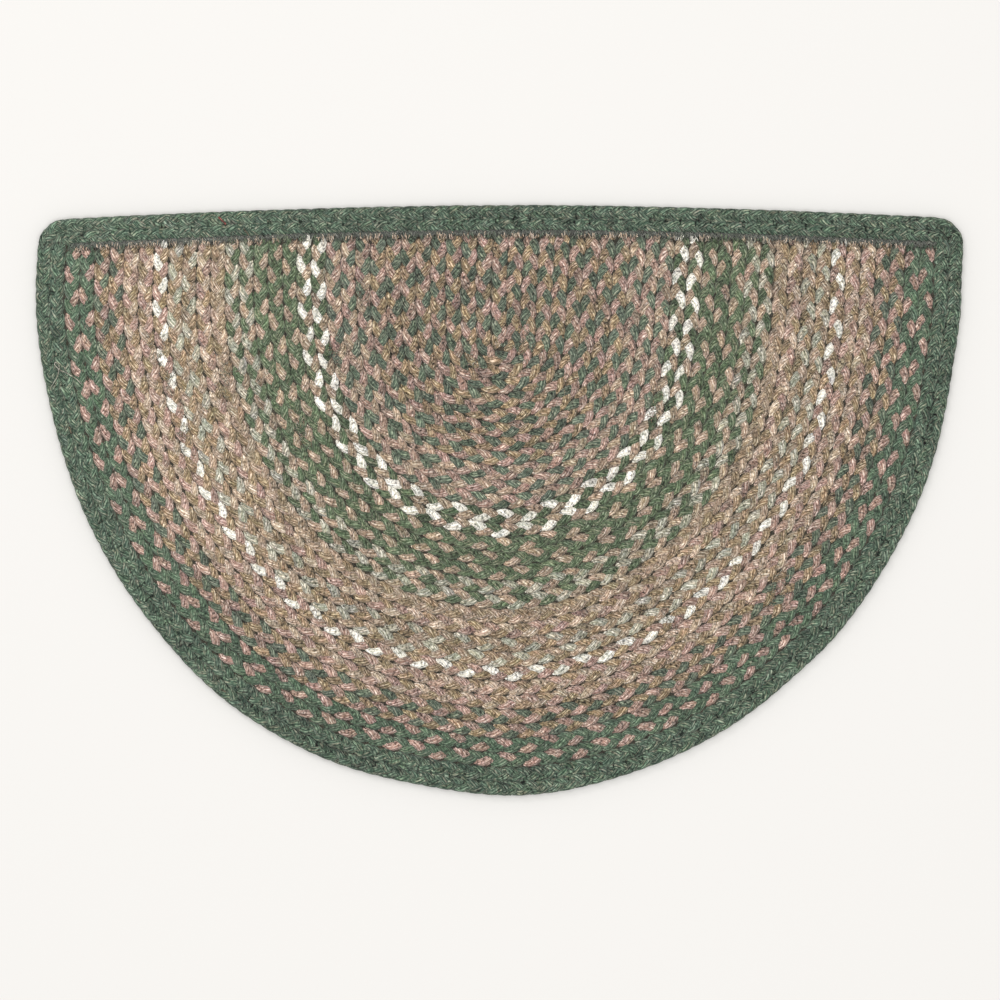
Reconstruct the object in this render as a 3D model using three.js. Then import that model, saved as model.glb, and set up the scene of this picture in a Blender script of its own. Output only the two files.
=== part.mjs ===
// Half-round braided jute doormat lying flat on a floor, in millimetres, +Z up.
//
// Three-strand jute braid is coiled round and round and sewn row to row, and the oval is cut straight across.
// What is left is a field of U-shaped rows, nested round one short straight braid in the middle.
// A plain green braid is then sewn twice round the whole outline, over the curved side and along the cut.
// The straight edge faces +Y. Every braid row is a raised rib on the top, and the mat is flat underneath.
import * as THREE from 'three';
import { mergeVertices } from 'three/addons/utils/BufferGeometryUtils.js';

// Driving dimensions
const matWidth = 740; // along the straight edge
const thickness = 9; // two strands of the braid on top of each other
const ribValley = 6.4; // height of the seam between two rows
const fieldRows = 29; // U-shaped rows round the middle braid
const edgingWidth = 11.4; // one round of the green braid
const edgingAtCut = 0.93; // the rounds lie a little tighter along the cut edge
const seamGap = 0.3; // between two pieces that are sewn side by side
const rowSpread = 4; // near the cut edge the middle rows are pushed outwards by up to this much
const spreadReach = 0.75; // share of the field's size within which they are
const spreadLow = -10; // no push below this height
const spreadHigh = 80; // full push above this height

// The outline, seen from above, with the end of the middle braid at x = 0, y = 0
const bellyDepth = 397.4; // half-ellipse from the widest place down to the lowest
const bellyHeight = 38.1; // the widest place lies this far above the middle braid's end
const crestHeight = 111.2; // highest place of the straight edge
const crestOffset = 14; // the highest place lies a little to the right
const crestFall = 11.6; // the straight edge falls this much towards each corner
const crestPower = 1.75; // between a roof and a round arch
const topLean = 1.7; // the cut edge and both corners are pulled this much to the right
const leanLow = 40; // no pull below this height
const leanHigh = 85; // full pull above this height

// The hand-sewn outline is a little uneven: mm outwards at each angle, from the left end round to the right
const unevenness = [
  { angle: 0, outwards: 2.0 },
  { angle: 15, outwards: -0.7 },
  { angle: 30, outwards: 0.2 },
  { angle: 40, outwards: 0.3 },
  { angle: 54, outwards: 2.6 },
  { angle: 66, outwards: 1.6 },
  { angle: 80, outwards: -1.1 },
  { angle: 94, outwards: 2.0 },
  { angle: 108, outwards: 0.3 },
  { angle: 120, outwards: 0.3 },
  { angle: 130, outwards: -0.7 },
  { angle: 137, outwards: 0.7 },
  { angle: 147, outwards: 0.1 },
  { angle: 156, outwards: 0.5 },
  { angle: 171, outwards: -1.1 },
  { angle: 180, outwards: 2.0 },
];

// Cross-sections of a braid: place across it as a share of its width, height as a share of the thickness
const ribProfile = [
  { across: -0.27, height: 0.95 },
  { across: 0, height: 1 },
  { across: 0.27, height: 0.95 },
];
const edgingProfile = [
  { across: -0.36, height: 0 },
  { across: 0.36, height: 0 },
  { across: 0.5, height: 0.2 },
  { across: 0.5, height: 0.68 },
  { across: 0.3, height: 0.94 },
  { across: 0, height: 1 },
  { across: -0.3, height: 0.94 },
  { across: -0.5, height: 0.68 },
  { across: -0.5, height: 0.2 },
];

// Steps along the curves
const fieldArcSteps = 28;
const edgingArcSteps = 52;
const straightSteps = 2;
const uprightSteps = 3;
const cornerSteps = 6;
const cutEdgeSteps = 20;
const slopeStep = 0.001; // radians, to find which way the uneven curve runs
const joinDistance = 1e-4; // points closer than this are one point

const halfWidth = matWidth / 2;
const bellyHalfWidth = halfWidth - unevenness[0].outwards;
const fieldInset = 2 * (edgingWidth + seamGap);
const cornerRadius = fieldInset - seamGap; // so the edging's inner corner is square, as the field's is
const cornerX = halfWidth - cornerRadius;

function spaced(from, to, steps) {
  return Array.from({ length: steps + 1 }, (_, i) => THREE.MathUtils.lerp(from, to, i / steps));
}

function outwardsAt(angle) {
  const next = unevenness.findIndex((row, i) => i > 0 && angle <= row.angle + slopeStep);
  const [from, to] = [unevenness[next - 1], unevenness[next]];
  const share = THREE.MathUtils.smoothstep(angle, from.angle, to.angle);
  return THREE.MathUtils.lerp(from.outwards, to.outwards, share);
}

// The curved side: turn runs from 0 at the left end, through the lowest place, to PI at the right end
function bellyPoint(turn) {
  const outwards = outwardsAt(THREE.MathUtils.radToDeg(turn));
  const x = -(bellyHalfWidth + outwards) * Math.cos(turn);
  const y = bellyHeight - (bellyDepth + outwards) * Math.sin(turn);
  return new THREE.Vector2(x, y);
}

function insetBellyPoint(turn, inset) {
  const before = bellyPoint(Math.max(0, turn - slopeStep));
  const after = bellyPoint(Math.min(Math.PI, turn + slopeStep));
  const along = after.sub(before).normalize();
  const inwards = new THREE.Vector2(-along.y, along.x);
  return bellyPoint(turn).addScaledVector(inwards, inset);
}

// The cut edge is a low arch
function cutEdgePoint(x, inset) {
  const fall = crestFall * Math.abs((x - crestOffset) / halfWidth) ** crestPower;
  return new THREE.Vector2(x, crestHeight - fall - inset * edgingAtCut);
}

// A corner: side is -1 for the left one and 1 for the right one, turn is 0 below and PI / 2 on the cut edge
function cornerPoint(side, turn, inset) {
  const low = cutEdgePoint(side * cornerX, 0).y - cornerRadius;
  const high = cutEdgePoint(side * cornerX, inset).y;
  const x = side * (cornerX + (cornerRadius - inset) * Math.cos(turn));
  return new THREE.Vector2(x, low + (high - low) * Math.sin(turn));
}

// The upright stretch between the corner and the curved side: share is 0 at the corner and 1 at the curve
function sidePoint(side, share, inset) {
  const top = cornerPoint(side, 0, inset);
  return top.lerp(new THREE.Vector2(top.x, bellyHeight), share);
}

// Places along the whole outline, anticlockwise from the left corner's lower end
const outlinePlaces = [
  ...spaced(0, 1, straightSteps).map((share) => (inset) => sidePoint(-1, share, inset)),
  ...spaced(0, Math.PI, edgingArcSteps).slice(1, -1).map((turn) => (inset) => insetBellyPoint(turn, inset)),
  ...spaced(1, 0, straightSteps).map((share) => (inset) => sidePoint(1, share, inset)),
  ...spaced(0, Math.PI / 2, cornerSteps).slice(1).map((turn) => (inset) => cornerPoint(1, turn, inset)),
  ...spaced(cornerX, -cornerX, cutEdgeSteps).slice(1, -1).map((x) => (inset) => cutEdgePoint(x, inset)),
  ...spaced(Math.PI / 2, 0, cornerSteps).slice(0, -1).map((turn) => (inset) => cornerPoint(-1, turn, inset)),
];

function leant({ x, y }) {
  return new THREE.Vector2(x + topLean * THREE.MathUtils.smoothstep(y, leanLow, leanHigh), y);
}

function outline(inset) {
  return outlinePlaces.map((place) => leant(place(inset)));
}

// A closed mesh from corner points and faces, with coinciding points joined and collapsed faces left out
function closedGeometry(points, faces) {
  const loose = new THREE.BufferGeometry();
  loose.setAttribute('position', new THREE.Float32BufferAttribute(points.flat(), 3));
  loose.setIndex(faces.flat());
  const joined = mergeVertices(loose, joinDistance);
  const index = Array.from(joined.index.array);
  const kept = [];
  for (let i = 0; i < index.length; i += 3) {
    const [a, b, c] = index.slice(i, i + 3);
    if (a !== b && b !== c && c !== a) kept.push(a, b, c);
  }
  joined.setIndex(kept);
  joined.computeVertexNormals();
  return joined;
}

// One round of the edging: the braid's cross-section led along the outline
function edgingGeometry(outerInset) {
  const points = [];
  for (const { across, height } of edgingProfile) {
    const line = outline(outerInset + (0.5 + across) * edgingWidth);
    for (const { x, y } of line) points.push([x, y, height * thickness]);
  }
  const count = outlinePlaces.length;
  const faces = [];
  edgingProfile.forEach((_, i) => {
    const next = (i + 1) % edgingProfile.length;
    for (let j = 0; j < count; j += 1) {
      const k = (j + 1) % count;
      const [a, b, c, d] = [i * count + j, i * count + k, next * count + k, next * count + j];
      faces.push([a, c, b], [a, d, c]);
    }
  });
  return closedGeometry(points, faces);
}

// The crests and seams of the field's rows, from the middle outwards, each as a share of the field's size
function ribLines() {
  const lines = [];
  for (let row = 0; row <= fieldRows; row += 1) {
    for (const { across, height } of ribProfile) {
      if (row + across >= 0) lines.push({ at: row + across, z: height * thickness });
    }
    lines.push({ at: row + 0.5, z: ribValley });
  }
  return lines.map(({ at, z }) => ({ share: at / (fieldRows + 0.5), z }));
}

function pushedOutwards(point, share) {
  const most = rowSpread * Math.sin(Math.PI * Math.min(share / spreadReach, 1));
  const push = most * THREE.MathUtils.smoothstep(point.y, spreadLow, spreadHigh);
  return new THREE.Vector2(point.x + Math.sign(point.x) * push, point.y);
}

// One U-shaped line of the field, from the cut edge down the left, round, and up to the cut edge again
function rowLine(share) {
  const lower = spaced(0, Math.PI, fieldArcSteps).map((turn) =>
    insetBellyPoint(turn, fieldInset).multiplyScalar(share),
  );
  const upright = (end) => {
    const top = cutEdgePoint(end.x, fieldInset);
    const points = spaced(0, 1, uprightSteps).map((part) => pushedOutwards(top.clone().lerp(end, part), share));
    return [cutEdgePoint(points[0].x, fieldInset), ...points.slice(1, -1)];
  };
  const curve = lower.map((point) => pushedOutwards(point, share));
  return [...upright(lower[0]), ...curve, ...upright(lower[lower.length - 1]).reverse()].map(leant);
}

// The field: ribbed on top, with an upright wall all round and a flat underside
function fieldGeometry() {
  const points = [];
  const top = ribLines().map(({ share, z }) =>
    rowLine(share).map((point) => points.push([point.x, point.y, z]) - 1),
  );
  const faces = [];
  const quad = (a, b, c, d) => faces.push([a, b, c], [a, c, d]);
  for (let i = 0; i < top.length - 1; i += 1) {
    for (let j = 0; j < top[i].length - 1; j += 1) {
      quad(top[i][j], top[i + 1][j], top[i + 1][j + 1], top[i][j + 1]);
    }
  }
  // The rim, anticlockwise: round the outermost line, then back along the cut edge over every rib
  const inner = top.slice(0, -1);
  const rim = [
    ...top[top.length - 1],
    ...inner.map((line) => line[line.length - 1]).reverse(),
    ...inner.slice(1).map((line) => line[0]),
  ];
  const foot = rim.map((i) => points.push([points[i][0], points[i][1], 0]) - 1);
  rim.forEach((_, i) => {
    const k = (i + 1) % rim.length;
    quad(rim[i], foot[i], foot[k], rim[k]);
  });
  const footprint = foot.map((i) => new THREE.Vector2(points[i][0], points[i][1]));
  for (const [a, b, c] of THREE.ShapeUtils.triangulateShape(footprint, [])) {
    faces.push([foot[a], foot[c], foot[b]]);
  }
  return closedGeometry(points, faces);
}

const fieldJute = new THREE.MeshStandardMaterial({ color: 0x8c806c, roughness: 0.95, metalness: 0 });
const edgingJute = new THREE.MeshStandardMaterial({ color: 0x5b6a5a, roughness: 0.95, metalness: 0 });

function piece(name, geometry, material) {
  const mesh = new THREE.Mesh(geometry, material);
  mesh.name = name;
  return mesh;
}

const mat = new THREE.Group();
mat.add(piece('braided_field', fieldGeometry(), fieldJute));
mat.add(piece('edging_inner_round', edgingGeometry(edgingWidth + seamGap), edgingJute));
mat.add(piece('edging_outer_round', edgingGeometry(0), edgingJute));

// The origin is on the floor, under the middle of the mat's outline
const middle = new THREE.Box2().setFromPoints(outline(0)).getCenter(new THREE.Vector2());
mat.position.set(-middle.x, -middle.y, 0);

export default mat;
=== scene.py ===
# Half-round braided jute doormat, seen from straight above on a pale floor.
import math

import bmesh
import bpy
import numpy as np
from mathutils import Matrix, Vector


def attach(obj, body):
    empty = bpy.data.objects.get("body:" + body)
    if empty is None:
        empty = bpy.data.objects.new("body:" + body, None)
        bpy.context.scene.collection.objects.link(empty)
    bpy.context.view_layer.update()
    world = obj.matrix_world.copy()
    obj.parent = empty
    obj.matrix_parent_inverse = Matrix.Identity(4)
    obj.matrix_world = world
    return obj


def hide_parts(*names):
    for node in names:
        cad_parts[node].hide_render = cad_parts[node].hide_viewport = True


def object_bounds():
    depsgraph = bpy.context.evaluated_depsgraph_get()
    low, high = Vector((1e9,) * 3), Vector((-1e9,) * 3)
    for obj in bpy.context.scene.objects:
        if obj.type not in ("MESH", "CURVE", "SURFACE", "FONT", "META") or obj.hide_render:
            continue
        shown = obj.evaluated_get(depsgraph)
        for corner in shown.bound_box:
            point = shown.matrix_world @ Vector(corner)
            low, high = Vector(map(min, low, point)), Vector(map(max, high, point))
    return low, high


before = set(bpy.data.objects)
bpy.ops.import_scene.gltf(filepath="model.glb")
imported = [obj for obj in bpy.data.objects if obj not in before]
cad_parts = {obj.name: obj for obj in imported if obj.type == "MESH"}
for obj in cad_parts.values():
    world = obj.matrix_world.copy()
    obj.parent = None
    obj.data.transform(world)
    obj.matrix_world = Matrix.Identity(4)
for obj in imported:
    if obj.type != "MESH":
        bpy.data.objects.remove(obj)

cadLow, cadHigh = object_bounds()
scene = bpy.context.scene
scene.view_settings.view_transform = "Standard"
rng = np.random.default_rng(7)

# The mat's own sizes in millimetres and degrees, with the end of the middle braid at x = 0, y = 0
mat = {
    "width": 740.0,
    "thickness": 9.0,
    "fieldRows": 29,  # U-shaped rows round the middle braid
    "edgingWidth": 11.4,  # one round of the green braid
    "edgingAtCut": 0.93,  # share of that along the cut edge, where the rounds lie tighter
    "seamGap": 0.3,
    "rowSpread": 4.0,  # how far the middle rows are pushed outwards near the cut edge
    "spreadReach": 0.75,  # share of the field's size within which they are
    "spreadLow": -10.0,  # no push below this height, and all of it above the next one
    "spreadHigh": 80.0,
    "bellyDepth": 397.4,  # half-ellipse from the widest place down to the lowest
    "bellyHeight": 38.1,  # height of the widest place
    "crestHeight": 111.2,  # highest place of the cut edge
    "crestOffset": 14.0,  # it lies this far to the right
    "crestFall": 11.6,  # the cut edge falls this much towards each corner
    "crestPower": 1.75,  # between a roof and a round arch
    "topLean": 1.7,  # how far the top is pulled to the right
    "leanLow": 40.0,  # no pull below this height, and all of it above the next one
    "leanHigh": 85.0,
    "paintedLight": 0.17,  # painted light, as the upper left was lit more: how much paler it is than the rest, as a share of the colour
    "paintedLightAcross": (-80.0, -260.0),  # where that begins and where it is full, in x
    "paintedLightUp": (-260.0, -120.0),  # and in y
    "restTone": 0.035,  # how much paler the whole mat is than its yarns' colours
    "middleBraidEnd": (0.8, -3.0),  # where the middle braid turns back
    "unevenAngles": (0, 15, 30, 40, 54, 66, 80, 94, 108, 120, 130, 137, 147, 156, 171, 180),
    "unevenOutwards": (2.0, -0.7, 0.2, 0.3, 2.6, 1.6, -1.1, 2.0, 0.3, 0.3, -0.7, 0.7, 0.1, 0.5, -1.1, 2.0),
}
lineSteps = {  # points along each stretch of the drawn lines
    "belly": 900,
    "upright": 120,
    "middle": 200,
    "side": 60,
    "corner": 40,
    "cutLeft": 160,
    "cutRight": 240,
    "cut": 900,
}
halfWidth = mat["width"] / 2
bellyHalfWidth = halfWidth - mat["unevenOutwards"][0]
fieldInset = 2 * (mat["edgingWidth"] + mat["seamGap"])
cornerRadius = fieldInset - mat["seamGap"]
rowPitch = 11.8  # mm from one seam to the next where the rows are as wide as usual
mm = 0.001  # in metres
coilX = cadLow.x / mm + halfWidth  # where the middle braid ends, seen from the mat's origin, in mm
coilY = cadHigh.y / mm - mat["crestHeight"]


# An eased stretch from 0 at low to 1 at high: 3t^2 - 2t^3
def smoothStep(value, low, high):
    t = np.clip((value - low) / (high - low), 0, 1)
    return t * t * (3 - 2 * t)


# The sewn outline's unevenness at an angle: an eased stretch between each two angles of the table
def outwardsAt(degrees):
    angles = np.array(mat["unevenAngles"], float)
    outwards = np.array(mat["unevenOutwards"])
    i = np.clip(np.searchsorted(angles, degrees, side="right") - 1, 0, len(angles) - 2)
    return outwards[i] + (outwards[i + 1] - outwards[i]) * smoothStep(degrees, angles[i], angles[i + 1])


# How much paler than its yarn's colour the mat is at a point: restTone everywhere, and painted light on the
# upper left by an eased stretch across by one up
def paleAt(x, y):
    across = smoothStep(-x, *(-place for place in mat["paintedLightAcross"]))
    return mat["restTone"] + mat["paintedLight"] * across * smoothStep(y, *mat["paintedLightUp"])


# Unit vectors along a line of points, and the ones that point to its left, which is inwards on the mat
def directions(line):
    along = np.gradient(line, axis=0)
    along /= np.linalg.norm(along, axis=1, keepdims=True)
    return along, np.stack([-along[:, 1], along[:, 0]], 1)


# Half an ellipse with the unevenness added to both half-axes, moved inwards along its own normal
def bellyLine(inset):
    turn = np.linspace(0, math.pi, lineSteps["belly"])
    outwards = outwardsAt(np.degrees(turn))
    x = -(bellyHalfWidth + outwards) * np.cos(turn)
    y = mat["bellyHeight"] - (mat["bellyDepth"] + outwards) * np.sin(turn)
    line = np.stack([x, y], 1)
    inwards = directions(line)[1]
    inwards[0], inwards[-1] = (1, 0), (-1, 0)
    return line + inset * inwards


# Height of the cut edge at x: its crest less a fall that grows as a power of the distance from the crest
def cutEdgeY(x, inset):
    away = np.abs((x - mat["crestOffset"]) / halfWidth)
    return mat["crestHeight"] - mat["crestFall"] * away ** mat["crestPower"] - inset * mat["edgingAtCut"]


# A line with its upper part pulled to the right by an eased stretch of the height
def leant(line):
    pull = mat["topLean"] * smoothStep(line[:, 1], mat["leanLow"], mat["leanHigh"])
    return np.column_stack([line[:, 0] + pull, line[:, 1:]])


# A straight run of points from one end to the other, without the last one
def run(start, end, steps):
    t = np.linspace(0, 1, steps, endpoint=False)[:, None]
    return np.array(start) + (np.array(end) - np.array(start)) * t


# A field row's middle line: the field's outline scaled about the middle braid's end, upright above it to the
# cut edge, with the middle rows pushed outwards near the cut edge by a half sine over the rows
def rowLine(row, cutInset=fieldInset):
    share = row / (mat["fieldRows"] + 0.5)
    belly = bellyLine(fieldInset) * share
    steps = lineSteps["upright"]
    left = run((belly[0, 0], cutEdgeY(belly[0, 0], cutInset)), belly[0], steps)
    right = run((belly[-1, 0], cutEdgeY(belly[-1, 0], cutInset)), belly[-1], steps)[::-1]
    line = np.concatenate([left, belly, right])
    most = mat["rowSpread"] * math.sin(math.pi * min(share / mat["spreadReach"], 1))
    pushed = smoothStep(line[:, 1], mat["spreadLow"], mat["spreadHigh"])
    line[:, 0] += np.sign(line[:, 0]) * most * pushed
    return leant(line)


# How far apart the two seams beside a row are at each point of its line, as a share of the usual distance
def rowRoom(row, line):
    across = rowLine(row + 0.5) - rowLine(row - 0.5)
    return np.abs((across * directions(line)[1]).sum(1)) / rowPitch


# The whole outline moved inwards, as a line that starts on the cut edge at startX, runs leftwards and closes:
# the cut edge's curve, the belly, and a quarter of an ellipse for each corner
def outlineLine(inset, startX):
    cornerX = halfWidth - cornerRadius
    sideX = halfWidth - inset
    turn = np.linspace(0, math.pi / 2, lineSteps["corner"])
    corners = []
    for side in (-1, 1):
        low = cutEdgeY(side * cornerX, 0) - cornerRadius
        high = cutEdgeY(side * cornerX, inset)
        x = side * (cornerX + (cornerRadius - inset) * np.cos(turn))
        corners.append(np.stack([x, low + (high - low) * np.sin(turn)], 1))
    left, right = corners[0][::-1], corners[1]
    cutLeft = np.linspace(startX, -cornerX, lineSteps["cutLeft"], endpoint=False)
    cutRight = np.linspace(cornerX, startX, lineSteps["cutRight"])[1:]
    stretches = (
        np.stack([cutLeft, cutEdgeY(cutLeft, inset)], 1),
        left,
        run(left[-1], (-sideX, mat["bellyHeight"]), lineSteps["side"])[1:],
        bellyLine(inset),
        run((sideX, mat["bellyHeight"]), right[0], lineSteps["side"])[1:],
        right,
        np.stack([cutRight, cutEdgeY(cutRight, inset)], 1),
    )
    return leant(np.concatenate(stretches))


# Points at equal distances along a line, no further apart than a step, and their distances from its start
def evenly(line, step):
    gone = np.concatenate([[0], np.cumsum(np.linalg.norm(np.diff(line[:, :2], axis=0), axis=1))])
    along = np.linspace(0, gone[-1], int(math.ceil(gone[-1] / step)) + 1)
    return np.stack([np.interp(along, gone, line[:, i]) for i in range(line.shape[1])], 1), along


# Slow random drift along a line: seeded values at even knots, joined by eased stretches
def drift(along, wavelength):
    knots = rng.uniform(-1, 1, int(along[-1] / wavelength) + 3)
    place = along / wavelength + rng.uniform(0, 1)
    i = np.minimum(place.astype(int), len(knots) - 2)
    return knots[i] + (knots[i + 1] - knots[i]) * smoothStep(place - i, 0, 1)


# A random number as likely on one side of zero as on the other
def eitherWay(most):
    return rng.uniform(-most, most)


# A random place in a yarn's pattern, in mm, so that no two strands look alike
def patternStart():
    return rng.uniform(0, 9000, 2)


# Lays flat work along a line: its x goes along the line and its y to the left. y is squeezed to stay within
# the row, y / (1 + |y / limit|^stop)^(1 / stop), and widened where the row has more room.
def layAlong(flat, points, room, along, limit):
    stop = 8
    at = np.clip(flat[:, 0], 0, along[-1])
    table = np.column_stack([points, *directions(points), room])
    x, y, aheadX, aheadY, leftX, leftY, wide = (np.interp(at, along, column) for column in table.T)
    beyond = flat[:, 0] - at
    aside = flat[:, 1] / (1 + np.abs(flat[:, 1] / limit) ** stop) ** (1 / stop) * wide
    x = x + aheadX * beyond + leftX * aside
    y = y + aheadY * beyond + leftY * aside
    return np.stack([x, y, flat[:, 2]], 1)


# A round section flattened towards a box: each of sine and cosine to the power 2 / squareness
def section(sides, squareness=2.0):
    angle = (np.arange(sides) + 0.5) / sides * 2 * math.pi
    return np.stack([np.sign(f) * np.abs(f) ** (2 / squareness) for f in (np.sin(angle), np.cos(angle))], 1)


# Gathers tubes of one yarn, and makes them one smooth mesh that rides on the mat's only body
class Skein:
    tip = 0.4  # how far past a tube's end its closing fan reaches, as a share of its thickness

    def __init__(self):
        self.verts, self.loops, self.sizes, self.uvs, self.shades = [], [], [], [], []
        self.count = 0

    # Keeps points, and sets of faces that name them, each with the UVs of its corners
    def add(self, verts, faceSets, shade):
        for faces, uvs in faceSets:
            self.loops.append(faces.reshape(-1) + self.count)
            self.sizes.append(np.full(len(faces), faces.shape[1]))
            self.uvs.append(uvs.reshape(-1, 2))
        self.verts.append(verts)
        self.shades.append(np.broadcast_to(shade, len(verts)))
        self.count += len(verts)

    # A tube along a line of points: at each one the section, level and square to the line. Each end is
    # closed by a fan round a point a little further on. The UV map is mm round the tube, moved by slant at
    # each point of the line, and mm along it. At last the points are laid out by the function lay.
    def tube(self, centre, halfWide, halfThick, shape, shade=0.0, uvStart=(0.0, 0.0), slant=None, lay=None):
        rings, sides = len(centre), len(shape)
        along = np.gradient(centre, axis=0)
        along /= np.linalg.norm(along, axis=1, keepdims=True)
        level = np.stack([along[:, 1], -along[:, 0], np.zeros(rings)], 1)
        level /= np.maximum(np.linalg.norm(level, axis=1, keepdims=True), 1e-6)
        upright = np.cross(level, along)
        wide = np.broadcast_to(halfWide, rings)
        thick = np.broadcast_to(halfThick, rings)
        across = (wide[:, None] * shape[:, 0])[..., None] * level[:, None]
        high = (thick[:, None] * shape[:, 1])[..., None] * upright[:, None]
        verts = (centre[:, None] + across + high).reshape(-1, 3)
        i, j = np.meshgrid(np.arange(rings - 1), np.arange(sides), indexing="ij")
        k = (j + 1) % sides
        quads = np.stack([i * sides + j, i * sides + k, (i + 1) * sides + k, (i + 1) * sides + j], -1)
        lengths = np.linalg.norm(np.diff(centre, axis=0), axis=1)
        gone = uvStart[1] + np.concatenate([[0], np.cumsum(lengths)])
        girth = float(np.mean(wide) + np.mean(thick)) * math.pi / sides
        corners = ((j, i), (j + 1, i), (j + 1, i + 1), (j, i + 1))
        turned = uvStart[0] + (np.zeros(rings) if slant is None else slant)
        quadUvs = np.stack([np.stack([turned[b] + a * girth, gone[b]], -1) for a, b in corners], -2)
        firstTip = centre[0] - self.tip * thick[0] * along[0]
        lastTip = centre[-1] + self.tip * thick[-1] * along[-1]
        side = np.arange(sides)
        after = (side + 1) % sides
        first, last, end = len(verts), len(verts) + 1, (rings - 1) * sides
        fans = (
            (np.stack([side, np.full(sides, first), after], 1), gone[0]),
            (np.stack([end + after, np.full(sides, last), end + side], 1), gone[-1]),
        )
        faceSets = [(quads.reshape(-1, 4), quadUvs)]
        for tris, place in fans:
            uvs = np.stack([np.repeat(uvStart[0] + side * girth, 3), np.full(3 * sides, place)], 1)
            faceSets.append((tris, uvs))
        if not np.isscalar(shade):
            shade = np.concatenate([np.repeat(shade, sides), [shade[0], shade[-1]]])
        verts = np.concatenate([verts, [firstTip, lastTip]])
        self.add(lay(verts) if lay else verts, faceSets, shade)

    # The mesh, with the UVs in metres and a shade at each point that makes its yarn paler or darker
    def build(self, name, material, slotName):
        verts = np.concatenate(self.verts)
        # the shades take in the painted light on the upper left from paleAt
        shades = np.concatenate(self.shades) + paleAt(verts[:, 0], verts[:, 1])
        verts = (verts + (coilX, coilY, 0)) * mm
        sizes = np.concatenate(self.sizes)
        mesh = bpy.data.meshes.new(name)
        mesh.vertices.add(len(verts))
        mesh.vertices.foreach_set("co", verts.ravel())
        loops = np.concatenate(self.loops)
        mesh.loops.add(len(loops))
        mesh.loops.foreach_set("vertex_index", loops)
        mesh.polygons.add(len(sizes))
        mesh.polygons.foreach_set("loop_start", np.cumsum(sizes) - sizes)
        mesh.polygons.foreach_set("use_smooth", np.ones(len(sizes), bool))
        mesh.uv_layers.new(name="yarn").data.foreach_set("uv", np.concatenate(self.uvs).ravel() * mm)
        shade = mesh.attributes.new("shade", "FLOAT", "POINT")
        shade.data.foreach_set("value", shades.astype(np.float32))
        mesh.update(calc_edges=True)
        mesh.validate()
        piece = bpy.data.objects.new(name, mesh)
        scene.collection.objects.link(piece)
        mesh.materials.append(material)
        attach(piece, "root")
        print(name, "has", int((sizes - 2).sum()), "triangles")
        return piece


# An sRGB hex colour as linear values: a straight piece near black and a power of 2.4 above it
def linear(hexColour):
    srgb = np.array([int(hexColour[i : i + 2], 16) / 255 for i in (1, 3, 5)])
    return (*np.where(srgb <= 0.04045, srgb / 12.92, ((srgb + 0.055) / 1.055) ** 2.4).tolist(), 1.0)


# Adds one node: sets its properties, and sets or links its inputs
def addNode(tree, kind, settings=None, inputs=None):
    node = tree.nodes.new(kind)
    for name, value in (settings or {}).items():
        setattr(node, name, value)
    for name, value in (inputs or {}).items():
        if isinstance(value, bpy.types.NodeSocket):
            tree.links.new(value, node.inputs[name])
        else:
            node.inputs[name].default_value = value
    return node


yarn = {
    "ply": 1.45,  # mm between the lines that the spun plies draw on a strand, drawn a little coarse
    "plyTwist": 5.0,  # degrees that the plies lie off the strand
    "fibre": 0.55,  # mm across a bundle of fibres, drawn coarser than it is to show
    "fibreLength": 4.0,  # mm along it
    "fleck": 1.7,  # mm, where fibre ends stand up or leave a pit, painted as highlight and shade
    "patch": 14.0,  # mm, where the dye took unevenly
    "relief": 0.6,  # mm of bump
}
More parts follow.
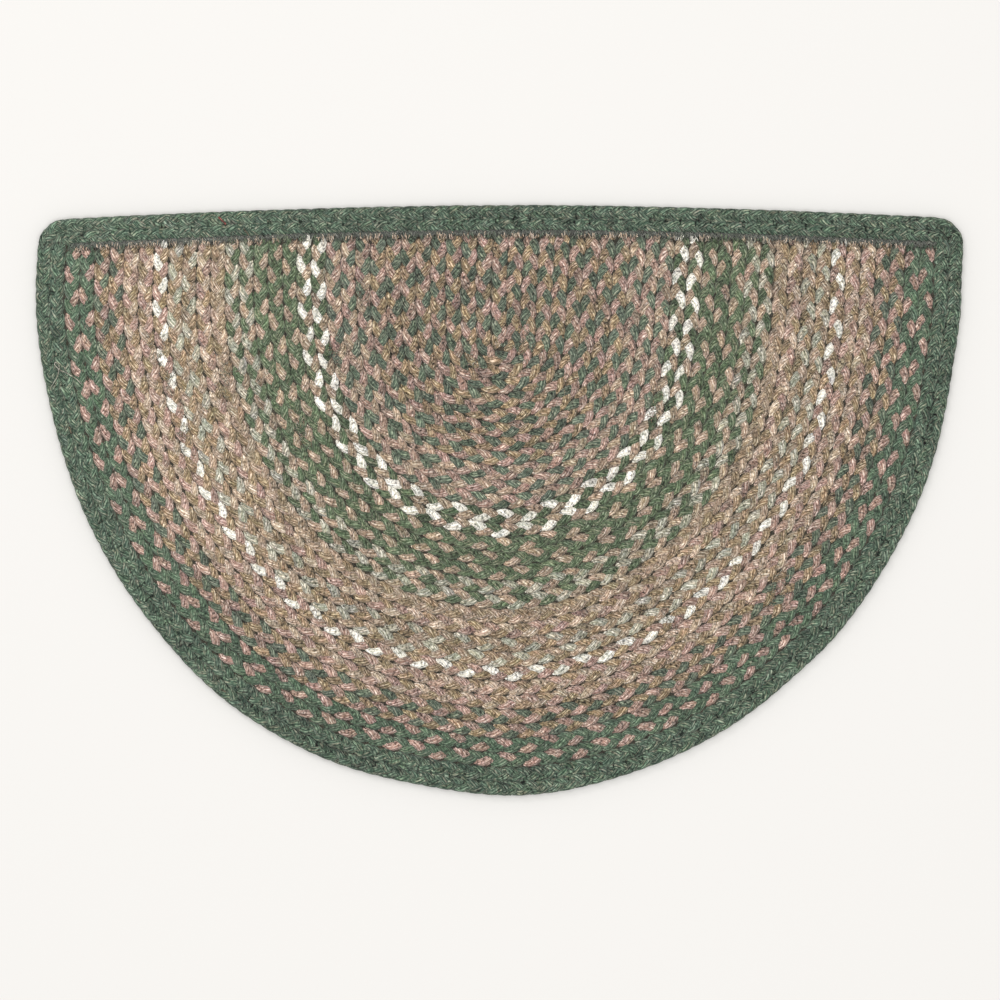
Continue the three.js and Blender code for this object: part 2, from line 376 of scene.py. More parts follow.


# Dyed jute: coarse dull bast fibre, spun and plied. The eye gets fine slanting lines of painted shade in the
# ply grooves, lighter fibre streaks of painted highlight, dark pits of painted shade, patchy dye and no gloss
# but a faint sheen. patchy is the share by which the dye's depth varies.
def juteMaterial(name, base, dark, light, odd, patchy=0.3):
    material = bpy.data.materials.new(name)
    material.use_nodes = True
    tree = material.node_tree
    tree.nodes.clear()
    remap = "ShaderNodeMapRange"
    noise = "ShaderNodeTexNoise"
    blend = ("ShaderNodeMix", {"data_type": "RGBA"})
    uv = addNode(tree, "ShaderNodeUVMap", {"uv_map": "yarn"}).outputs[0]
    turned = {"Vector": uv, "Rotation": (0, 0, math.radians(yarn["plyTwist"]))}
    twisted = addNode(tree, "ShaderNodeMapping", {}, turned).outputs[0]
    wave = {
        "Vector": twisted,
        "Scale": math.pi / 10 / (yarn["ply"] * mm),
        "Distortion": 1.0,
        "Detail": 1.5,
        "Detail Scale": 0.8,
    }
    plies = addNode(tree, "ShaderNodeTexWave", {"bands_direction": "X"}, wave).outputs["Fac"]
    fine = (1 / (yarn["fibre"] * mm), 1 / (yarn["fibreLength"] * mm), 1)
    stretched = addNode(tree, "ShaderNodeMapping", {}, {"Vector": twisted, "Scale": fine}).outputs[0]
    fibres = addNode(tree, noise, {}, {"Vector": stretched, "Scale": 1.0, "Detail": 1.8}).outputs["Fac"]
    fleckSize = {"Vector": uv, "Scale": 1 / (yarn["fleck"] * mm), "Detail": 1.0}
    flecks = addNode(tree, noise, {}, fleckSize).outputs["Fac"]
    patchSize = {"Vector": uv, "Scale": 1 / (yarn["patch"] * mm), "Detail": 2.0}
    patches = addNode(tree, noise, {}, patchSize).outputs
    # painted shade: the dark colour goes into the ply grooves and between the fibres; painted highlight: the
    # light colour on the fibres that catch it
    grooves = addNode(tree, remap, {}, {"Value": plies, "From Min": 0.0, "From Max": 0.5}).outputs[0]
    share = addNode(tree, remap, {}, {"Value": fibres, "From Min": 0.36, "From Max": 0.6}).outputs[0]
    catching = {"Value": fibres, "From Min": 0.52, "From Max": 0.72, "To Max": 0.75}
    streaks = addNode(tree, remap, {}, catching).outputs[0]
    fewSize = {"Vector": stretched, "Scale": 0.5, "Detail": 1.0}
    few = addNode(tree, noise, {}, fewSize).outputs["Fac"]
    oddShare = {"Value": few, "From Min": 0.5, "From Max": 0.62, "To Max": 0.8}
    oddOnes = addNode(tree, remap, {}, oddShare).outputs[0]
    main = addNode(tree, *blend, {0: oddOnes, 6: linear(base), 7: linear(odd)}).outputs[2]
    body = addNode(tree, *blend, {0: share, 6: linear(dark), 7: main}).outputs[2]
    body = addNode(tree, *blend, {0: streaks, 6: body, 7: linear(light)}).outputs[2]
    lined = addNode(tree, *blend, {0: grooves, 6: linear(dark), 7: body}).outputs[2]
    lot = addNode(tree, "ShaderNodeAttribute", {"attribute_name": "shade"}).outputs["Fac"]
    dye = {
        "Value": patches["Fac"],
        "From Min": 0.3,
        "From Max": 0.7,
        "To Min": 1 - patchy,
        "To Max": 1 + patchy,
    }
    uneven = addNode(tree, remap, {}, dye).outputs[0]
    # painted shade in the pits and painted highlight where fibre ends stand up
    speck = {"Value": flecks, "From Min": 0.32, "From Max": 0.56, "To Min": 0.3, "To Max": 1.28}
    specks = addNode(tree, remap, {}, speck).outputs[0]
    product = {0: uneven, 1: specks, 2: lot}
    brightness = addNode(tree, "ShaderNodeMath", {"operation": "MULTIPLY_ADD"}, product).outputs[0]
    scaled = {0: lined, "Scale": brightness}
    toned = addNode(tree, "ShaderNodeVectorMath", {"operation": "SCALE"}, scaled).outputs[0]
    overlay = {"data_type": "RGBA", "blend_type": "OVERLAY"}
    tint = {0: 0.13, 6: toned, 7: patches["Color"]}
    tinted = addNode(tree, "ShaderNodeMix", overlay, tint).outputs[2]
    added = {0: fibres, 1: 0.5, 2: plies}
    heights = addNode(tree, "ShaderNodeMath", {"operation": "MULTIPLY_ADD"}, added).outputs[0]
    relief = {"Height": heights, "Strength": 0.8, "Distance": yarn["relief"] * mm}
    bump = addNode(tree, "ShaderNodeBump", {}, relief).outputs[0]
    finish = {
        "Base Color": tinted,
        "Normal": bump,
        "Roughness": 0.92,
        "Specular IOR Level": 0.2,
        "Sheen Weight": 0.15,
        "Sheen Roughness": 0.6,
    }
    shader = addNode(tree, "ShaderNodeBsdfPrincipled", {}, finish)
    addNode(tree, "ShaderNodeOutputMaterial", {}, {"Surface": shader.outputs[0]})
    return material


# Main colour, painted shade down between the fibres and in the ply grooves, painted highlight on the fibres
# that catch the light, and colour of a few fibres that took the dye otherwise. A fifth value is how patchy
# the dye is, where that isn't as usual.
juteColours = {
    "teal": ("#7b8772", "#414c41", "#a9b19b", "#83806f"),
    "tan": ("#b4a07f", "#6d5b45", "#ded2ba", "#bf9e86"),
    "rose": ("#c7ac9f", "#83675b", "#e9ddd0", "#ba9f8d"),
    "moss": ("#728367", "#414e38", "#979e87", "#87836c"),
    "fern": ("#6a8168", "#3c4c3d", "#91a08a", "#767767"),
    "cream": ("#faf9f3", "#c9c3b4", "#ffffff", "#f0e9d8"),
    "mint": ("#c2c1b4", "#7f7e6c", "#eee7d9", "#cbb99f"),
    "peach": ("#c1ad9a", "#806c59", "#e6ddce", "#b4a082"),
    "blush": ("#d7c5b2", "#95806b", "#f2eade", "#c6b299"),
    "brown": ("#a8977d", "#6a5944", "#d1c3aa", "#9f8566"),
    "edging": ("#6e826d", "#2f4035", "#889a86", "#89806f", 0.42),
    "madder": ("#b4544e", "#6e332f", "#cf9187", "#a4604c"),
}
slotOf = {"blush": "peach_jute", "madder": "rose_jute", "edging": "edging_braid"}
jute = {name: juteMaterial(f"dyed_jute_{name}", *colours) for name, colours in juteColours.items()}

# The yarns that each row is plaited from, in the order in which they come up. firstLobe is how far from the
# cut edge the first one comes up on the row's inner half, in mm, and on is how much further it is in each row
# after that. limit is given where the rows are sewn less tightly, so that their seams show.
rowYarns = (
    {"rows": (0, 0), "yarns": ("teal", "tan", "rose"), "period": 37.2, "firstLobe": 22, "on": 0},
    {"rows": (1, 4), "yarns": ("teal", "tan", "rose"), "period": 37.2, "firstLobe": 0, "on": -3},
    {"rows": (5, 8), "yarns": ("teal", "tan", "rose"), "period": 37.2, "firstLobe": 18, "on": -15.5},
    {"rows": (9, 11), "yarns": ("teal", "peach", "rose"), "period": 37.2, "firstLobe": 28, "on": -10},
    {"rows": (12, 13), "yarns": ("cream", "moss", "peach"), "period": 37.4, "firstLobe": 9, "on": -5},
    {"rows": (14, 16), "yarns": ("peach", "moss", "moss"), "period": 37.2, "firstLobe": 8, "on": 6},
    {"rows": (17, 18), "yarns": ("peach", "moss", "mint"), "period": 37.5, "firstLobe": 38.5, "on": 2},
    {"rows": (19, 19), "yarns": ("peach", "brown", "peach"), "period": 37.6, "firstLobe": 19, "on": 0},
    {"rows": (20, 20), "yarns": ("blush", "tan", "rose"), "period": 37.4, "firstLobe": 36, "on": 0},
    {"rows": (21, 22), "yarns": ("mint", "tan", "peach"), "period": 37.6, "firstLobe": 17, "on": -10},
    {
        "rows": (23, 23),
        "yarns": ("cream", "tan", "rose"),
        "period": 37.5,
        "firstLobe": 37.3,
        "on": 0,
        "limit": 6.7,
    },
    {
        "rows": (24, 25),
        "yarns": ("blush", "rose", "tan"),
        "period": 37.7,
        "firstLobe": 17,
        "on": -1,
        "limit": 6.65,
    },
    {
        "rows": (26, 27),
        "yarns": ("teal", "tan", "rose"),
        "period": 37.6,
        "firstLobe": 4,
        "on": -13,
        "limit": 6.7,
    },
    {"rows": (28, 29), "yarns": ("rose", "fern", "fern"), "period": 37.6, "firstLobe": 21.5, "on": -16},
)

fieldPlait = {
    "steps": 14,  # points for each period
    "sides": 12,
    "squareness": 3.0,  # a pressed strand's section
    "swing": 4.3,  # half of the way that a strand goes from side to side, in mm
    "sharpness": 0.92,  # how sharply it turns back at the edges
    "lift": 1.1,  # half of the way that it goes up and down
    "flatTop": 1.5,  # how long it stays up or down before it crosses over
    "lead": 8.0,  # degrees by which it is up before it has left the edge
    "halfWide": 3.8,
    "halfThick": 3.2,
    "limit": 6.95,  # half of the row's width, and a little for the row that it is pressed against
    "slant": 2.0,  # mm by which the fibres lie across the strand from one turn to the next
    "slantSharpness": 0.98,
    "wander": 0.35,  # mm that a row strays from its line
    "wanderLength": 45.0,  # mm along the row from one such bend to the next
    "unevenPhase": 0.3,  # radians by which the strands come up early or late
    "unevenPeriods": 1.7,  # periods from one such change to the next
    "unevenSize": 0.09,  # how far a strand's girth and swing wander
    "strandTone": 0.17,  # how far a strand's brightness wanders
    "toneLength": 12.0,  # mm along it from one such change to the next
    "wholeTone": 0.7,  # how far whole strands differ, as a share of that
    "steady": {"cream": 0.4},  # the share of it in undyed yarn
    "pressed": 0.12,  # how much thinner a row is at its ends, where it is sewn down
    "pressReach": 7.0,  # mm from the end
    "frayed": True,  # whether the ends show cut fibres
}
edgingPlait = {
    **fieldPlait,
    "swing": 3.8,
    "halfWide": 3.9,
    "slant": 2.5,
    "wander": 0.12,
    "pressed": 0.0,
    "frayed": False,
}
looseShape = {"rings": 5, "sides": 3}


# A loose fibre: a thin tube from one point to another, bowed to the side and lifted on its way by half a sine
def looseFibre(skein, start, end, bow, lift, radius, shade, lay=None):
    share = np.linspace(0, 1, looseShape["rings"])[:, None]
    arc = np.sin(math.pi * share)
    start, end = np.array(start), np.array(end)
    ahead = end - start
    side = np.array([-ahead[1], ahead[0], 0]) / max(math.hypot(ahead[0], ahead[1]), 1e-6)
    centre = start + ahead * share + side * bow * arc + np.array([0, 0, lift]) * arc
    skein.tube(centre, radius, radius, section(looseShape["sides"]), shade, patternStart(), None, lay)


fluff = {
    "every": 17.0,  # mm of strand for each fibre that stands off it
    "highEnough": 0.3,  # it stands only where the strand is up, from -1 to 1
    "rootAlong": 2.0,  # mm that its root strays along the strand
    "rootAcross": 2.6,
    "rootHeight": 0.9,  # share of the strand's half thickness
    "length": (3.0, 9.0),  # mm
    "turned": 0.3,  # radians off the strand's way
    "slope": 0.3,  # mm that its tip is higher or lower than its root
    "bow": 0.12,  # share of its length
    "radius": (0.07, 0.16),
    "lift": (0.2, 0.9),
    "shade": (-0.1, 0.3),
}


# Fibres that stand off a strand where it is on top, and lie along it, turned by a normal distribution
def fluffStrand(skein, centre, up, thick, lay):
    high = np.flatnonzero(up > fluff["highEnough"])
    for i in rng.choice(high, int(len(centre) * (centre[1, 0] - centre[0, 0]) / fluff["every"])):
        root = (eitherWay(fluff["rootAlong"]), eitherWay(fluff["rootAcross"]), fluff["rootHeight"] * thick[i])
        start = centre[i] + root
        ahead = centre[min(i + 1, len(centre) - 1)] - centre[max(i - 1, 0)]
        length = rng.uniform(*fluff["length"])
        angle = math.atan2(ahead[1], ahead[0]) + rng.normal(0, fluff["turned"])
        reach = (length * math.cos(angle), length * math.sin(angle), eitherWay(fluff["slope"]))
        bow = eitherWay(fluff["bow"]) * length
        lift = rng.uniform(*fluff["lift"])
        shade = rng.uniform(*fluff["shade"])
        radius = rng.uniform(*fluff["radius"])
        looseFibre(skein, start, start + reach, bow, lift, radius, shade, lay)


fray = {
    "fibres": 6,  # fibre ends that a cut strand shows
    "hidden": -0.6,  # but none where it is this far down, from -1 to 1
    "across": 3.2,  # mm to each side of the strand's middle
    "rootBack": (2.8, 5.6),  # mm from the cut
    "tipBack": (-0.6, 3.0),
    "splay": 1.6,  # mm that a tip is aside of its root
    "rootSunk": 0.3,  # mm under the top of the mat
    "tipHeight": 9.8,
    "bow": 0.4,
    "lift": 0.4,
    "radius": (0.22, 0.42),
    "shade": (0.1, 0.5),
    "paleEnds": {"rose": "blush", "tan": "blush", "peach": "blush"},  # the dye didn't reach the yarns' cores
}


# The frayed fibres at a strand's two cut ends, where it isn't underneath, each splayed by a random amount
def frayStrand(skein, centre, up, lay):
    for i, out in ((0, -1), (len(centre) - 1, 1)):
        if up[i] < fray["hidden"]:
            continue
        for _ in range(fray["fibres"]):
            y = centre[i, 1] + eitherWay(fray["across"])
            rootX = centre[i, 0] - out * rng.uniform(*fray["rootBack"])
            tipX = centre[i, 0] - out * rng.uniform(*fray["tipBack"])
            start = (rootX, y, mat["thickness"] - fray["rootSunk"])
            end = (tipX, y + eitherWay(fray["splay"]), fray["tipHeight"])
            radius = rng.uniform(*fray["radius"])
            shade = rng.uniform(*fray["shade"])
            looseFibre(skein, start, end, eitherWay(fray["bow"]), fray["lift"], radius, shade, lay)


# A three-strand plait along a line. Strand n goes sideways as the arc sine of sin(t - n / 3 turn), which
# turns back sharply, and up and down as minus sin of twice that, levelled off at both ends, so it comes up at
# an edge, runs in to the middle over the others and dives there. Pressed ends are thinner by a bell curve.
def plaitAlong(line, room, yarns, skeins, period, phase, style):
    path, along = evenly(np.column_stack([line, room]), period / style["steps"])
    stray = style["wander"] * drift(along, style["wanderLength"])
    pace = style["unevenPhase"] * drift(along, style["unevenPeriods"] * period)
    turn = 2 * math.pi * along / period + phase + pace
    fromEnd = np.minimum(along, along[-1] - along)
    squeeze = 1 - style["pressed"] * np.exp(-((fromEnd / style["pressReach"]) ** 2))
    shape = section(style["sides"], style["squareness"])

    def lay(flat):
        return layAlong(flat, path[:, :2], path[:, 2], along, style["limit"])

    for n, name in enumerate(yarns):
        t = turn - 2 * math.pi * n / 3
        full = 1 + style["unevenSize"] * drift(along, period / 2)
        swing = style["swing"] * (1 + style["unevenSize"] * drift(along, period / 2))
        sideways = swing * np.arcsin(style["sharpness"] * np.sin(t)) / math.asin(style["sharpness"])
        wave = np.sin(2 * t + math.radians(style["lead"]))
        up = np.tanh(-style["flatTop"] * wave) / np.tanh(style["flatTop"])
        thick = style["halfThick"] * squeeze * full
        height = np.maximum((mat["thickness"] / 2 + style["lift"] * up) * squeeze, thick)
        centre = np.column_stack([along, stray + sideways, height])
        slant = style["slant"] * np.arcsin(style["slantSharpness"] * np.sin(t)) * 2 / math.pi
        most = style["strandTone"] * style["steady"].get(name, 1)
        tone = most * (drift(along, style["toneLength"]) + style["wholeTone"] * eitherWay(1))
        wide = style["halfWide"] * full
        skeins[name].tube(centre, wide, thick, shape, tone, patternStart(), slant, lay)
        fluffStrand(skeins[name], centre, up, thick, lay)
        if style["frayed"]:
            frayStrand(skeins[fray["paleEnds"].get(name, name)], centre, up, lay)


print("plaiting the field")
crestTurn = 0.75 * math.pi  # where a strand is highest on the inner half
skeins = {name: Skein() for name in juteColours}
for stretch in rowYarns:
    first, last = stretch["rows"]
    style = {**fieldPlait, "limit": stretch.get("limit", fieldPlait["limit"])}
    for row in range(first, last + 1):
        if row:
            line = rowLine(row)
            room = rowRoom(row, line)
        else:
            line = leant(run((0, cutEdgeY(0, fieldInset)), mat["middleBraidEnd"], lineSteps["middle"]))
            room = np.ones(len(line))
        lobe = stretch["firstLobe"] + (row - first) * stretch["on"]
        phase = crestTurn - 2 * math.pi * lobe / stretch["period"]
        plaitAlong(line, room, stretch["yarns"], skeins, stretch["period"], phase, style)

fuzz = {
    "spots": (  # mm, where the braid was rubbed rough
        (-271, -8),
        (-263, -28),
        (-130, -8),
        (-110, 43),
        (-219, -27),
        (-250, -74),
        (-158, -69),
        (224, -195),
        (137, -218),
        (125, -54),
        (21, 4),
        (-24, -14),
    ),
    "spread": (4.0, 8.0),  # mm across and up the mat
    "fibres": 55,
    "height": (8.5, 8.9),
    "length": (1.4, 4.2),
    "slope": (-0.2, 0.4),
    "bow": 0.3,  # share of its length
    "lift": 0.3,
    "radius": (0.14, 0.25),
    "shade": (-0.5, 0.25),
    "yarns": ("mint", "teal", "brown", "rose"),
}


# Short fibres that lie every way on the rough spots, each spot's placed by a normal distribution
def roughen():
    for spot in fuzz["spots"]:
        for _ in range(fuzz["fibres"]):
            place = spot + rng.normal(0, 1, 2) * fuzz["spread"]
            start = np.array([*place, rng.uniform(*fuzz["height"])])
            length = rng.uniform(*fuzz["length"])
            angle = rng.uniform(0, 2 * math.pi)
            reach = (length * math.cos(angle), length * math.sin(angle), rng.uniform(*fuzz["slope"]))
            yarnName = fuzz["yarns"][rng.integers(len(fuzz["yarns"]))]
            bow = fuzz["bow"] * length
            radius = rng.uniform(*fuzz["radius"])
            shade = rng.uniform(*fuzz["shade"])
            looseFibre(skeins[yarnName], start, start + reach, bow, fuzz["lift"], radius, shade)


# Bits of yarn that lie on the mat, as points in mm
strayShape = {"step": 0.8, "rounding": 3, "sides": 5}
strays = (
    {
        "yarn": "mint",
        "radius": 0.42,
        "shade": -0.1,
        "points": (
            (-356.4, -33.8, 9.2),
            (-351.3, -25.5, 9.4),
            (-350.4, -20.0, 9.6),
            (-354.3, -16.5, 9.4),
            (-353.4, -13.9, 9.3),
            (-350.3, -16.8, 9.4),
            (-350.4, -19.8, 10.3),
            (-349.1, -21.3, 10.0),
            (-344.6, -22.8, 9.4),
            (-336.4, -28.0, 9.3),
            (-332.7, -31.9, 9.1),
        ),
    },
    {"yarn": "mint", "radius": 0.35, "shade": -0.15, "points": ((-352.2, -30.1, 9.3), (-354.6, -34.7, 9.1))},
    {"yarn": "mint", "radius": 0.35, "shade": -0.05, "points": ((-346.7, -17.9, 9.2), (-344.3, -21.8, 9.4))},
    {"yarn": "madder", "radius": 0.75, "shade": 0.0, "points": ((-223.2, 101.3, 8.7), (-217.6, 95.6, 8.8))},
    {"yarn": "brown", "radius": 0.5, "shade": -0.4, "points": ((-342.4, -66.2, 8.9), (-340.8, -71.2, 8.9))},
    {"yarn": "brown", "radius": 0.5, "shade": -0.4, "points": ((-221.0, -275.2, 8.9), (-217.6, -277.4, 8.9))},
    {"yarn": "brown", "radius": 0.5, "shade": -0.55, "points": ((-203.2, 92.0, 8.9), (-198.8, 86.2, 8.9))},
)


# Each bit is a thin tube along its points, rounded off by averaging neighbours a few times
def scatterStrays():
    shape = section(strayShape["sides"])
    for stray in strays:
        path, _ = evenly(np.array(stray["points"]), strayShape["step"])
        for _ in range(strayShape["rounding"]):
            path[1:-1] = (path[:-2] + 2 * path[1:-1] + path[2:]) / 4
        skeins[stray["yarn"]].tube(path, stray["radius"], stray["radius"], shape, stray["shade"])


roughen()
scatterStrays()

print("plaiting the edging")
edging = {
    "period": 36.8,  # mm, and as much more or less as lets a whole number of periods go round
    "rounds": (
        {
            "name": "edging_inner_plait",
            "inset": 1.5 * mat["edgingWidth"] + mat["seamGap"],
            "spliceX": -201.0,  # where its two ends are joined
            "limit": 6.5,
        },
        {
            "name": "edging_outer_plait",
            "inset": 0.5 * mat["edgingWidth"] + 0.5,  # the stitches draw it inwards by half a mm
            "spliceX": -150.0,
            "limit": 5.85,
        },
    ),
    "seamInset": mat["edgingWidth"] + mat["seamGap"] / 2,
    "seamX": 60.0,  # where the stitches between the rounds begin
    "bandStep": 12.0,  # mm between the points of the band that closes the rounds under that seam
    "bandHeight": 4.7,
    "bandHalfWide": 8.6,
    "bandHalfThick": 3.2,
    "bandSection": (8, 4.0),  # sides and squareness
    # painted shade: the band shows only deep in the seam between the rounds, so it is darker
    "bandPaintedShade": -0.3,
}
rounds = {}
for braid in edging["rounds"]:
    line = outlineLine(braid["inset"], braid["spliceX"])
    around = float(np.linalg.norm(np.diff(line, axis=0), axis=1).sum())
    period = around / round(around / edging["period"])
    phase = rng.uniform(0, 6)  # radians
    style = {**edgingPlait, "limit": braid["limit"]}
    rounds[braid["name"]] = Skein()
    skeinOf = {"edging": rounds[braid["name"]]}
    plaitAlong(line, np.ones(len(line)), ("edging",) * 3, skeinOf, period, phase, style)
band, _ = evenly(outlineLine(edging["seamInset"], edging["seamX"]), edging["bandStep"])
band = np.column_stack([band, np.full(len(band), edging["bandHeight"])])
bandSize = (edging["bandHalfWide"], edging["bandHalfThick"])
rounds["edging_inner_plait"].tube(band, *bandSize, section(*edging["bandSection"]), edging["bandPaintedShade"])

ground = {
    "rows": 31,  # with the two rounds of the edging
    "top": 6.0,  # mm under a row's middle
    "seamTop": 6.9,  # mm at a seam
    "bottom": 2.6,
    "seamBottom": 3.4,
    "rim": 4.0,  # mm short of the cut edge, and more by the steps below at the corners
    "rimStep": 5.0,
    "points": 110,
    "joined": 0.01,  # mm within which two points are one
    # dark colours: painted shade deep in the seams between the rows
    "colours": ("#4b463a", "#312e26", "#696051", "#474439"),
}


# The ground that the rows are sewn into: U-shaped lines, one under each row's middle and one at each seam,
# over and under, so that it is ribbed between the rows. The innermost line is folded in two and joined there.
# Its dark colours are painted shade, as the ground shows only deep in the seams.
def sewnGround():
    print("sewing the ground")
    lines = []
    for half in range(2 * ground["rows"] + 1):
        line = rowLine(half / 2, ground["rim"] + ground["rimStep"] * max(0, half / 2 - mat["fieldRows"]))
        gone = np.concatenate([[0], np.cumsum(np.linalg.norm(np.diff(line, axis=0), axis=1))])
        along = np.linspace(0, gone[-1], ground["points"])
        lines.append(np.stack([np.interp(along, gone, line[:, i]) for i in (0, 1)], 1))
    lines = np.array(lines)
    seam = (np.arange(len(lines)) % 2 == 1)[:, None] * np.ones((1, ground["points"]))
    over = np.dstack([lines, np.where(seam, ground["seamTop"], ground["top"])])
    under = np.dstack([lines, np.where(seam, ground["seamBottom"], ground["bottom"])])
    verts = np.concatenate([over.reshape(-1, 3), under.reshape(-1, 3)])
    rows, count = lines.shape[:2]
    below = rows * count
    i, j = np.meshgrid(np.arange(rows - 1), np.arange(count - 1), indexing="ij")
    a = (i * count + j).ravel()
    cells = np.stack([a, a + count, a + count + 1, a + 1], 1)
    rim = np.arange((rows - 1) * count, rows * count)
    ends = np.arange(rows) * count
    walls = [np.stack([rim[:-1], rim[:-1] + below, rim[1:] + below, rim[1:]], 1)]
    for end, turned in ((ends, 1), (ends + count - 1, -1)):
        wall = np.stack([end[:-1], end[:-1] + below, end[1:] + below, end[1:]], 1)
        walls.append(wall[:, ::turned])
    quads = np.concatenate([cells, cells[:, ::-1] + below, *walls])
    skein = Skein()
    skein.add(verts, [(quads, verts[quads][..., :2])], 0.0)
    piece = skein.build("sewn_ground", juteMaterial("jute_ground_and_seam_shade", *ground["colours"]), "field_braid")
    work = bmesh.new()
    work.from_mesh(piece.data)
    bmesh.ops.remove_doubles(work, verts=work.verts, dist=ground["joined"] * mm)
    work.to_mesh(piece.data)
    work.free()
    return piece


# Three kinds of zigzag. down and up are how far it reaches to the right and to the left of the line that it
# follows, in mm, top is how high the thread lies on its way across, and sunk how high where it goes in. Each
# point is moved sideways by up to jitter, and up or down and in tone by the two values here.
stitchUneven = {"height": 0.2, "tone": 0.1}
laceStitch = {
    "step": 3.6,  # mm from one stitch to the next
    "down": 0.8,
    "up": 0.8,
    "top": 7.9,
    "sunk": 6.8,
    "radius": 0.3,
    "sides": 3,
    "jitter": 0.25,
    "tone": 0.0,
    "colours": ("#575142", "#322f27", "#7a715e", "#4e4c3f"),
}
overcastStitch = {
    "steps": (2.1, 2.9, 2.5, 3.3, 2.3, 2.7),
    "down": 3.2,  # over the rows' cut ends
    "downLess": 0.3,  # each zigzag reaches down less than the one before
    "up": 1.6,  # over the inner round of the edging
    "top": 9.6,
    "sunk": 9.0,
    "radius": 0.45,
    "sides": 5,
    "jitter": 0.55,
    "tone": 0.0,
    "startIn": 2.0,  # mm from the field's corners
    "endIn": 4.0,
    "colours": ("#777c72", "#41443f", "#a9aca1", "#7b766c"),
}
legStitch = {
    "steps": (2.7, 3.7),
    "down": 5.4,
    "up": 1.2,
    "top": 9.5,
    "sunk": 8.6,
    "radius": 0.3,
    "sides": 4,
    "jitter": 0.9,
    "tone": -0.25,
    "startIn": 3.0,
    "endIn": 3.0,
}


# A zigzag stitch along a line: it goes into the cloth at each side in turn and lies highest between
def zigzag(skein, line, step, stitch):
    points, _ = evenly(line, step / 2)
    inwards = directions(points)[1]
    beat = np.arange(len(points)) % 4
    middle = (stitch["up"] - stitch["down"]) / 2
    side = np.choose(beat, (-stitch["down"], middle, stitch["up"], middle))
    side = side + rng.uniform(-stitch["jitter"], stitch["jitter"], len(points))
    most = stitchUneven["height"]
    high = np.where(beat % 2 == 1, stitch["top"], stitch["sunk"]) + rng.uniform(-most, most, len(points))
    centre = np.column_stack([points + inwards * side[:, None], high])
    tone = stitch["tone"] + eitherWay(stitchUneven["tone"])
    radius = stitch["radius"]
    skein.tube(centre, radius, radius, section(stitch["sides"]), tone, patternStart())


# One zigzag along each seam of the field, and one between the rounds of the edging
def laceRows():
    print("lacing the rows")
    skein = Skein()
    seams = [rowLine(row + 0.5) for row in range(mat["fieldRows"] + 1)]
    seams.append(outlineLine(edging["seamInset"], edging["seamX"]))
    for line in seams:
        zigzag(skein, line, laceStitch["step"], laceStitch)
    material = juteMaterial("lacing_thread", *laceStitch["colours"])
    return skein.build("row_lacing", material, "sewing_thread")


# The field's upper edge between two places in x, moved back by shift
def cutLine(start, end, shift=0.0):
    x = np.linspace(start, end, lineSteps["cut"]) - shift
    return leant(np.stack([x, cutEdgeY(x, fieldInset)], 1))


# The overcasting along the cut: zigzags one over the other, each a little on from the one before, and two of
# darker thread that reach further down
def overcastCut():
    print("overcasting the cut edge")
    skein = Skein()
    reach = halfWidth - fieldInset
    for turn, step in enumerate(overcastStitch["steps"]):
        start = -reach + overcastStitch["startIn"] + turn
        end = reach - overcastStitch["endIn"] + turn
        down = overcastStitch["down"] - overcastStitch["downLess"] * turn
        zigzag(skein, cutLine(start, end), step, {**overcastStitch, "down": down})
    for step in legStitch["steps"]:
        start = -reach + legStitch["startIn"] + step
        end = reach - legStitch["endIn"] + step
        zigzag(skein, cutLine(start, end, step), step, legStitch)
    material = juteMaterial("overcast_thread", *overcastStitch["colours"])
    return skein.build("overcast_stitches", material, "sewing_thread")


strands = [
    skeins[name].build(f"{name}_strands", jute[name], slotOf.get(name, f"{name}_jute"))
    for name in juteColours
    if name != "edging"
]
plaits = [rounds[name].build(name, jute["edging"], slotOf["edging"]) for name in rounds]
body = sewnGround()
lacing = laceRows()
overcast = overcastCut()
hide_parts("braided_field")
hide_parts("edging_inner_round")
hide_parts("edging_outer_round")

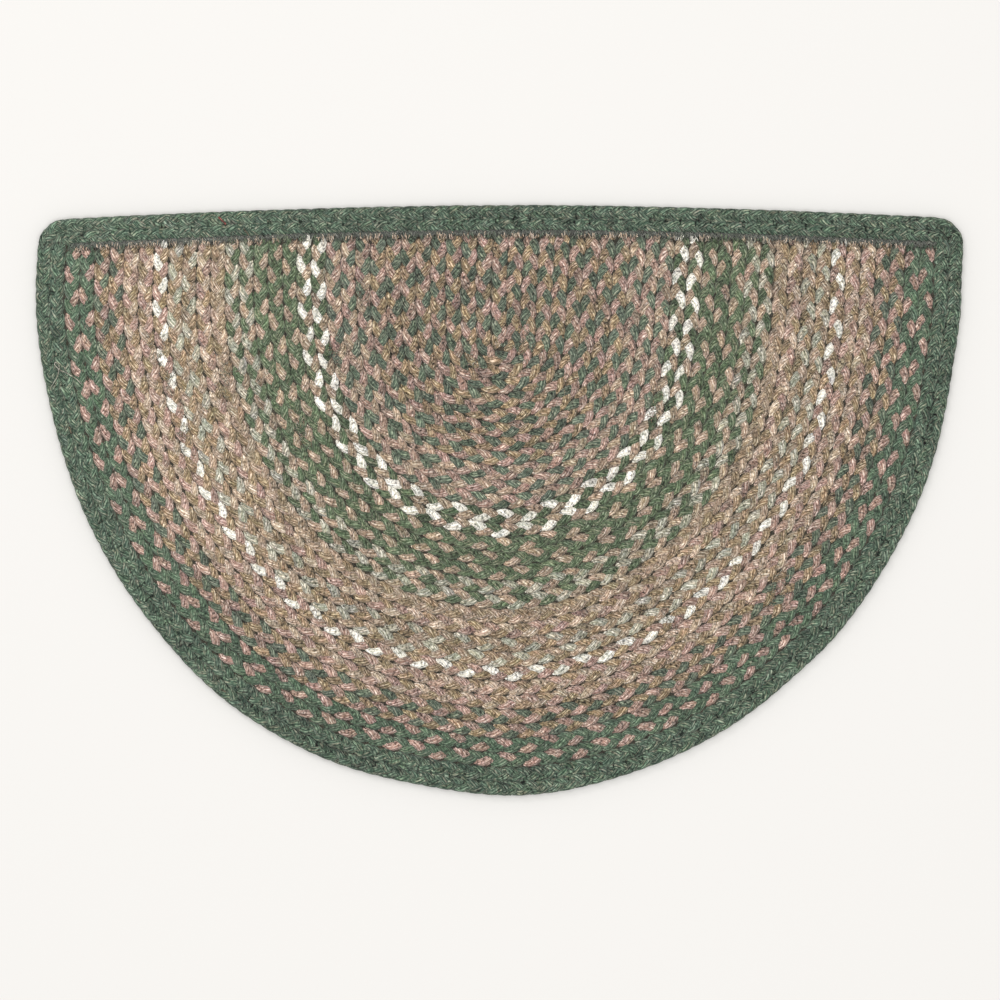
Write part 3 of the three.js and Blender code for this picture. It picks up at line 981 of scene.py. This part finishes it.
# The room: a pale plain floor, a broad key from the upper left and an even pale sky
studio = {
    "floor": "#e2e0dd",
    "floorReach": 3.0,  # m from its middle to each side
    "sky": 0.62,
    "skyTint": (1, 0.995, 0.985, 1),
    "lights": (
        {"name": "overhead", "place": (0.0, 0.0, 5.0), "size": 5.0, "power": 171.0},
        {"name": "key", "place": (-1.0, 1.6, 2.4), "size": 0.9, "power": 9.6},
    ),
    "photoSide": 1000,  # pixels
    "photoPixel": 0.7974,  # mm of the mat for each of them
    "coilPixel": (498.5, 344.0),  # where the middle braid ends in the photo
    "distance": 2.6,  # m above the floor
    "sensor": 36.0,
}


# The camera looks straight down, and its lens makes one pixel of the photo as wide as it is on the mat's top
def buildStudio():
    print("setting the studio")
    far = studio["floorReach"]
    mesh = bpy.data.meshes.new("floor")
    mesh.from_pydata([(-far, -far, 0), (far, -far, 0), (far, far, 0), (-far, far, 0)], [], [(0, 1, 2, 3)])
    floor = bpy.data.objects.new("floor", mesh)
    scene.collection.objects.link(floor)
    material = bpy.data.materials.new("matte_floor_paper")
    material.use_nodes = True
    shader = material.node_tree.nodes["Principled BSDF"]
    shader.inputs["Base Color"].default_value = linear(studio["floor"])
    shader.inputs["Roughness"].default_value = 0.95
    shader.inputs["Specular IOR Level"].default_value = 0.1
    mesh.materials.append(material)
    for lamp in studio["lights"]:
        light = bpy.data.lights.new(lamp["name"], "AREA")
        light.shape = "DISK"
        light.size = lamp["size"]
        light.energy = lamp["power"]
        holder = bpy.data.objects.new(lamp["name"], light)
        holder.location = lamp["place"]
        holder.rotation_euler = holder.location.to_track_quat("Z", "Y").to_euler()
        scene.collection.objects.link(holder)
    world = bpy.data.worlds.new("sky")
    world.use_nodes = True
    sky = world.node_tree.nodes["Background"]
    sky.inputs["Color"].default_value = studio["skyTint"]
    sky.inputs["Strength"].default_value = studio["sky"]
    scene.world = world
    camera = bpy.data.cameras.new("camera")
    pixel = studio["photoPixel"] * mm
    side = studio["photoSide"]
    camera.sensor_width = studio["sensor"]
    camera.lens = camera.sensor_width * (studio["distance"] - mat["thickness"] * mm) / (side * pixel)
    holder = bpy.data.objects.new("camera", camera)
    holder.location = (
        coilX * mm + (side / 2 - studio["coilPixel"][0]) * pixel,
        coilY * mm - (side / 2 - studio["coilPixel"][1]) * pixel,
        studio["distance"],
    )
    scene.collection.objects.link(holder)
    scene.camera = holder


buildStudio()
